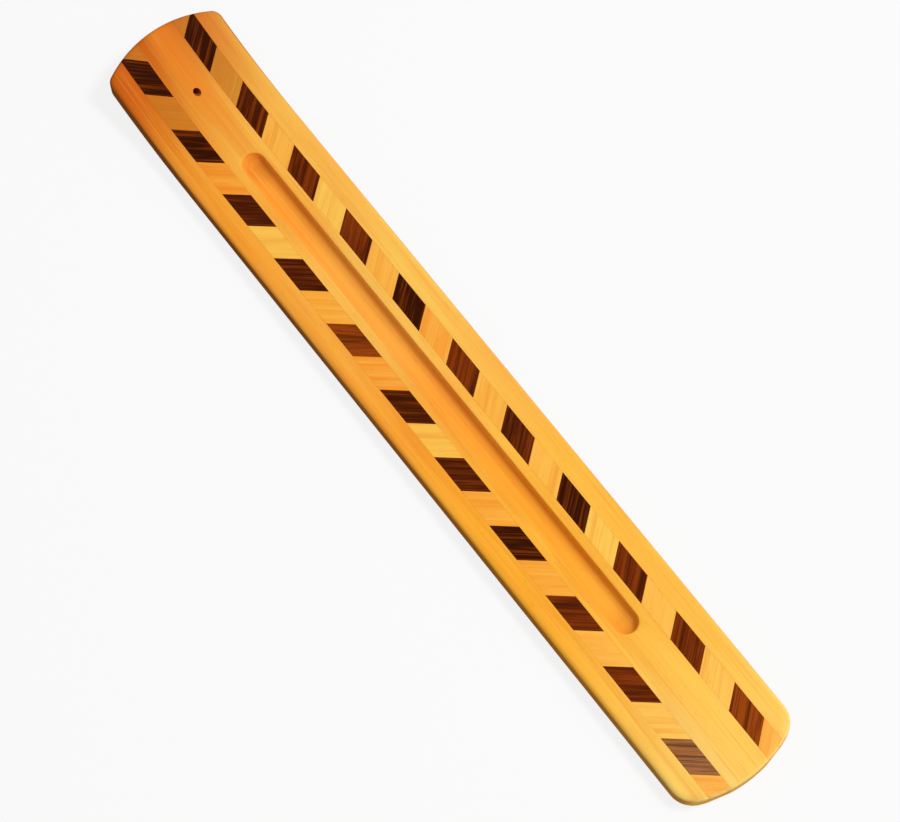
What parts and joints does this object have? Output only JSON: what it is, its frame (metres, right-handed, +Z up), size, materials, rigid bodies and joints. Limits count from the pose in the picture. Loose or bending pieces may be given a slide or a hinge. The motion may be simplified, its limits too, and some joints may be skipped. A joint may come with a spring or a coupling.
{
  "type": "incense stick holder",
  "caption": "Long flat wooden incense holder with one upturned end, a leaning stick hole, a coved ash groove and two inlaid bands of slanted dark and light tiles.",
  "frame": {"origin": "middle of the underside: half way along the board and half way across, on the table", "axes": "+X along the board from the upturned tip to the flat end, +Y to the right as seen from the flat end, +Z up"},
  "size_m": [0.254, 0.036, 0.0124],
  "materials": {
    "board_wood": "light orange-yellow wood, sanded smooth, thin clear lacquer",
    "light_inlay": "pale yellow to tan wood, grain along the slanted cuts, thin clear lacquer",
    "dark_inlay": "dark red-brown wood, grain along the slanted cuts, thin clear lacquer"
  },
  "bodies": {
    "root": {"board": "board_wood", "dark_tile_left_01": "dark_inlay", "dark_tile_left_02": "dark_inlay", "dark_tile_left_03": "dark_inlay", "dark_tile_left_04": "dark_inlay", "dark_tile_left_05": "dark_inlay", "dark_tile_left_06": "dark_inlay", "dark_tile_left_07": "dark_inlay", "dark_tile_left_08": "dark_inlay", "dark_tile_left_09": "dark_inlay", "dark_tile_left_10": "dark_inlay", "dark_tile_left_11": "dark_inlay", "light_tile_left_01": "light_inlay", "light_tile_left_02": "light_inlay", "light_tile_left_03": "light_inlay", "light_tile_left_04": "light_inlay", "light_tile_left_05": "light_inlay", "light_tile_left_06": "light_inlay", "light_tile_left_07": "light_inlay", "light_tile_left_08": "light_inlay", "light_tile_left_09": "light_inlay", "light_tile_left_10": "light_inlay", "light_tile_left_11": "light_inlay", "light_tile_left_12": "light_inlay", "dark_tile_right_01": "dark_inlay", "dark_tile_right_02": "dark_inlay", "dark_tile_right_03": "dark_inlay", "dark_tile_right_04": "dark_inlay", "dark_tile_right_05": "dark_inlay", "dark_tile_right_06": "dark_inlay", "dark_tile_right_07": "dark_inlay", "dark_tile_right_08": "dark_inlay", "dark_tile_right_09": "dark_inlay", "dark_tile_right_10": "dark_inlay", "dark_tile_right_11": "dark_inlay", "light_tile_right_01": "light_inlay", "light_tile_right_02": "light_inlay", "light_tile_right_03": "light_inlay", "light_tile_right_04": "light_inlay", "light_tile_right_05": "light_inlay", "light_tile_right_06": "light_inlay", "light_tile_right_07": "light_inlay", "light_tile_right_08": "light_inlay", "light_tile_right_09": "light_inlay", "light_tile_right_10": "light_inlay", "light_tile_right_11": "light_inlay", "light_tile_right_12": "light_inlay"}
  },
  "joints": []
}
